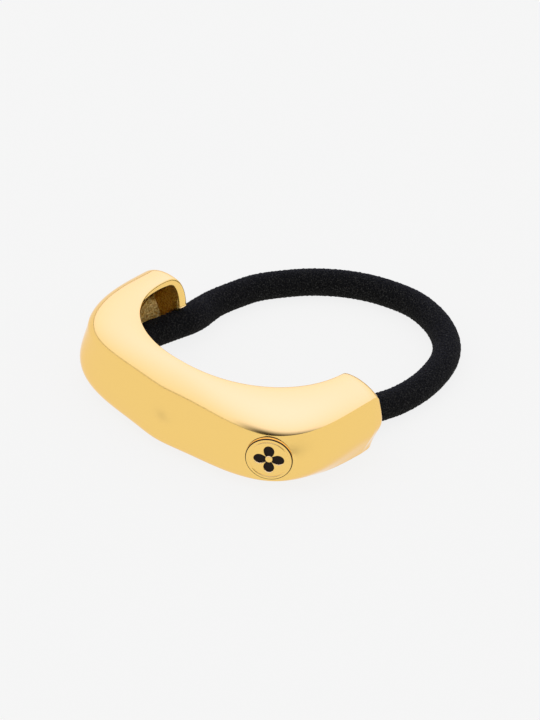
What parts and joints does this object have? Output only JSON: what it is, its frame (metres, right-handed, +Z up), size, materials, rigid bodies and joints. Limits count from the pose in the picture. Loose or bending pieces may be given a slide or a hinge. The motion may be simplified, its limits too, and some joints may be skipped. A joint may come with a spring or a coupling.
{
  "type": "hair tie",
  "caption": "Hair tie: a polished gold-plated cast cuff, C-shaped in plan and in section, with a ring of round black knitted elastic that runs in its channel and lies behind it as a loop.",
  "frame": {"origin": "on the surface the cuff stands on, below the centre of the cuff's box", "axes": "+X to the right along the cuff's width, +Y to the back, where the elastic's loop lies, +Z up"},
  "size_m": [0.0588, 0.0654, 0.0147],
  "materials": {
    "gold_plate": "gold-plated and polished outside, sandy as-cast surface inside the channel",
    "black_elastic": "matt black velvety knitted cover over a rubber core"
  },
  "bodies": {
    "root": {"gold_cuff": "gold_plate", "elastic_ring": "black_elastic"}
  },
  "joints": []
}
